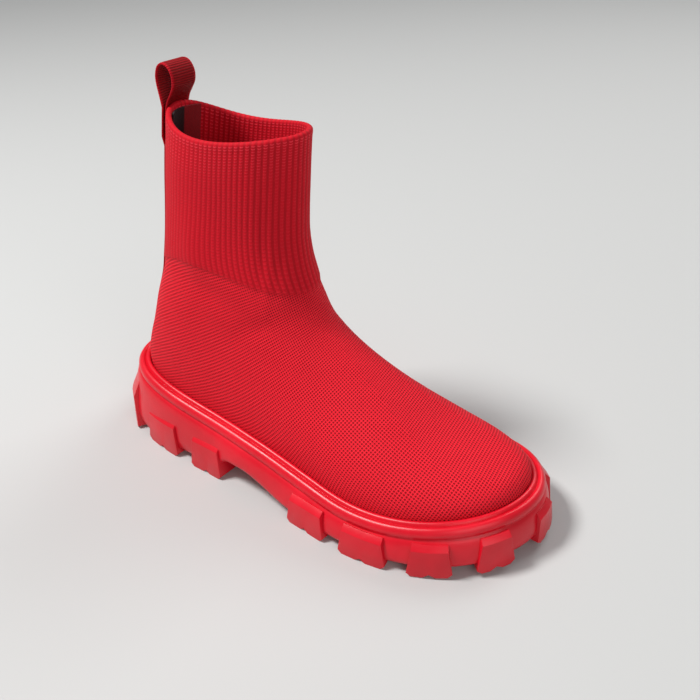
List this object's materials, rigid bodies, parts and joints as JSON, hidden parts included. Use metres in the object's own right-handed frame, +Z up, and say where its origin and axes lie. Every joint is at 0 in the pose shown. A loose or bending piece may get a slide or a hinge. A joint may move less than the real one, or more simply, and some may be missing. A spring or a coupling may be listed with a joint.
{
  "type": "sock boot",
  "caption": "Knitted pull-on sock boot with a ribbed cuff, a webbing pull loop and a chunky lugged unit sole; the wearer's right shoe of a pair.",
  "frame": {"origin": "middle of the boot's footprint on the floor, the bottom centre of its bounding box", "axes": "+X from the heel towards the toe, +Y towards the inner (medial) side of the foot, which is the wearer's left, +Z up; in build mm, packed in metres"},
  "size_m": [0.2944, 0.121, 0.2391],
  "materials": {
    "knit": "knitted",
    "moulded_sole": "satin",
    "footbed_fabric": "matte",
    "webbing": "woven",
    "tape": "woven"
  },
  "bodies": {
    "root": {"sole": "moulded_sole", "upper": "knit", "insole": "footbed_fabric", "pull_loop": "webbing", "collar_tape": "tape"}
  },
  "joints": []
}
